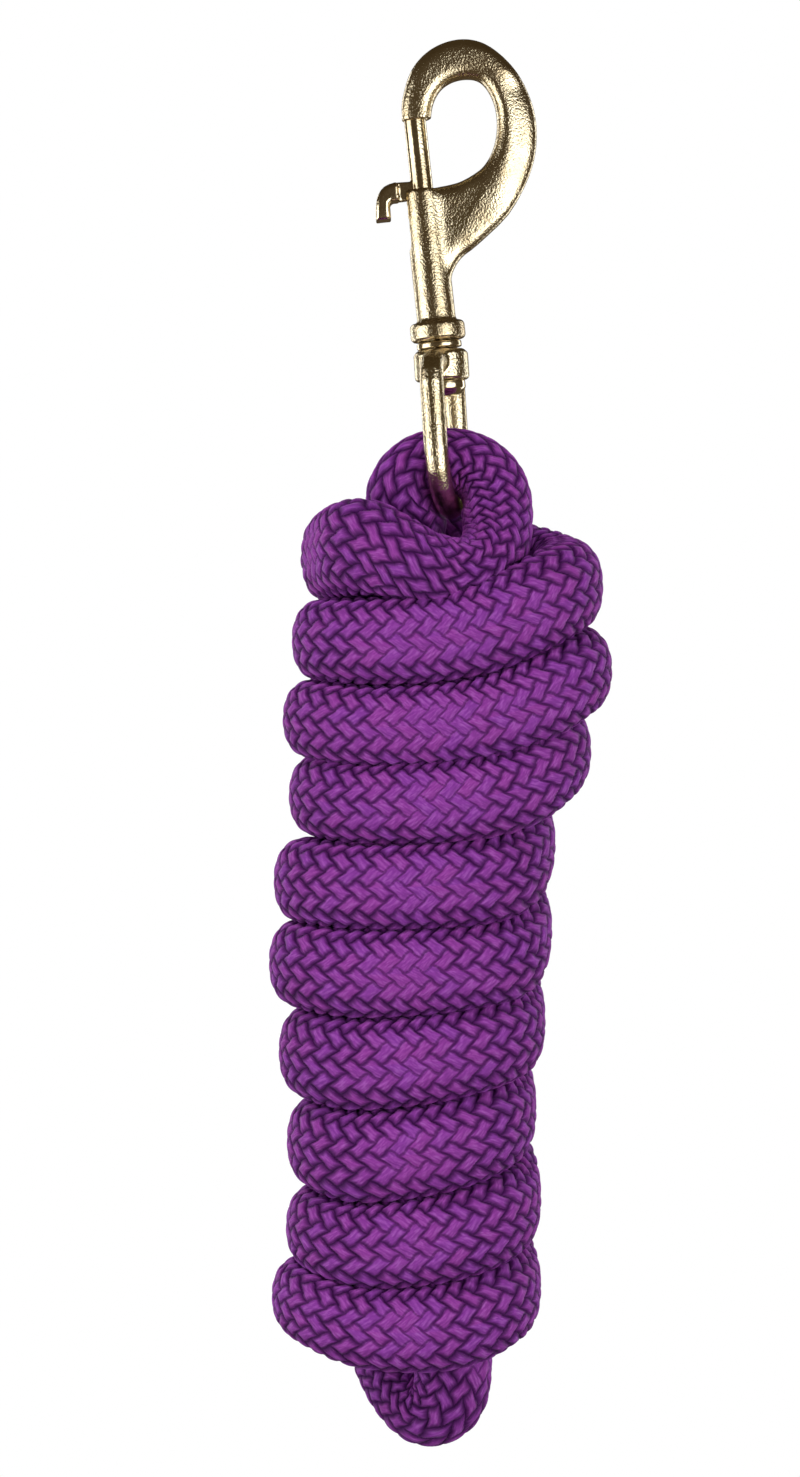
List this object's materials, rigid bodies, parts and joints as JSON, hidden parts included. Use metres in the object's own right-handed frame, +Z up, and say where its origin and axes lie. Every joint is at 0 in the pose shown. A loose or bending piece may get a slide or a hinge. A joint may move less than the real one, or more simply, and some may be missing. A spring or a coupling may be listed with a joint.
{
  "type": "horse lead rope",
  "caption": "Braided horse lead rope wound into a hank, looped through the swivel eye of a brass bolt snap with a spring-loaded sliding bolt.",
  "frame": {"origin": "the point inside the top of the hook where a halter ring or a peg bears, from which the part hangs", "axes": "+Z up towards the hook, +X towards the closed side of the hook, +Y to the back; the snap's plate lies in XZ"},
  "size_m": [0.0698, 0.0484, 0.2939],
  "materials": {
    "cast_brass": "pale champagne brass plate, polished, with a fine cast grain",
    "bolt_brass": "pale champagne brass plate, drawn smooth and polished",
    "turned_brass": "pale brass plate over turned rings",
    "spring_steel": "plain drawn spring wire",
    "rope_braid": "purple polypropylene yarn in a hollow plaited braid, soft sheen",
    "whipping_thread": "dark purple waxed thread",
    "fused_rope_end": "rope yarn melted into a hard glossy end"
  },
  "bodies": {
    "snap": {"hook_body": "cast_brass", "swivel_stud": "turned_brass", "swivel_washer": "turned_brass", "bolt_spring": "spring_steel"},
    "bolt": {"bolt": "bolt_brass"},
    "swivel": {"swivel_eye": "cast_brass"},
    "rope": {"rope_eye_loop": "rope_braid", "rope_hank": "rope_braid", "rope_bottom_bight": "rope_braid", "rope_end_whipping": "whipping_thread", "rope_tail_tip": "fused_rope_end"}
  },
  "joints": [
    {"name": "bolt_slide", "type": "slide", "parent": "snap", "child": "bolt", "axis": [0.108, 0, -0.9942], "range_m": [0, 0.009], "stiffness_N_per_m": 500, "springref_m": -0.006, "deforming": ["bolt_spring"]},
    {"name": "swivel_spin", "type": "hinge", "parent": "snap", "child": "swivel", "pos_m": [-0.0039, 0, -0.05992], "axis": [-0.108, 0, 0.9942], "continuous": true},
    {"name": "rope_swing", "type": "hinge", "parent": "swivel", "child": "rope", "pos_m": [-0.00197, 0, -0.08976], "axis": [0.199, 0.9799, 0.0129], "range_deg": [-60, 60]}
  ]
}
